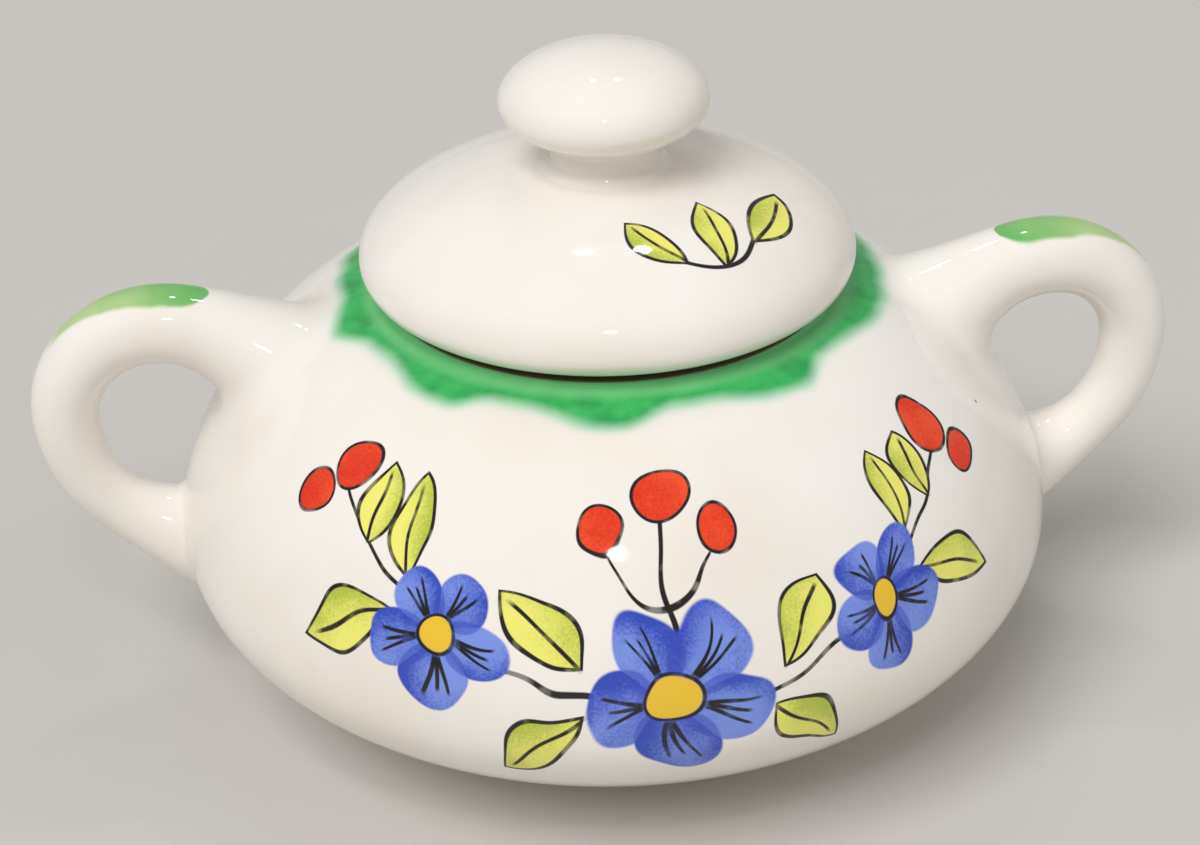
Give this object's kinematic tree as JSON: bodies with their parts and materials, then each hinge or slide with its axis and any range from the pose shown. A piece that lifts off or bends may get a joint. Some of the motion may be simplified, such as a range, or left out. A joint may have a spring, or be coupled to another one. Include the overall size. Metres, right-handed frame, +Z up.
{
  "type": "covered sugar bowl",
  "caption": "Squat round covered sugar bowl in white glazed pottery, with loop handles at its sides and a loose domed lid with a flattened knob.",
  "frame": {"origin": "on the table, under the middle of the bowl's foot ring", "axes": "+X across the two handles, -Y towards the painted front, +Z up along the axis of the bowl and lid"},
  "size_m": [0.1498, 0.115, 0.0873],
  "materials": {
    "bowl_glaze": "glossy white glaze with a painted green rim band and a flower trail",
    "handle_glaze": "glossy white glaze with a green brush stroke along the top",
    "lid_glaze": "glossy white glaze with a small painted sprig"
  },
  "bodies": {
    "bowl": {"bowl_body": "bowl_glaze", "left_handle": "handle_glaze", "right_handle": "handle_glaze"},
    "lid": {"lid": "lid_glaze", "lid_knob": "lid_glaze"}
  },
  "joints": [
    {"name": "lid_lift", "type": "slide", "parent": "bowl", "child": "lid", "axis": [0, 0, 1], "range_m": [0, 0.08]}
  ]
}
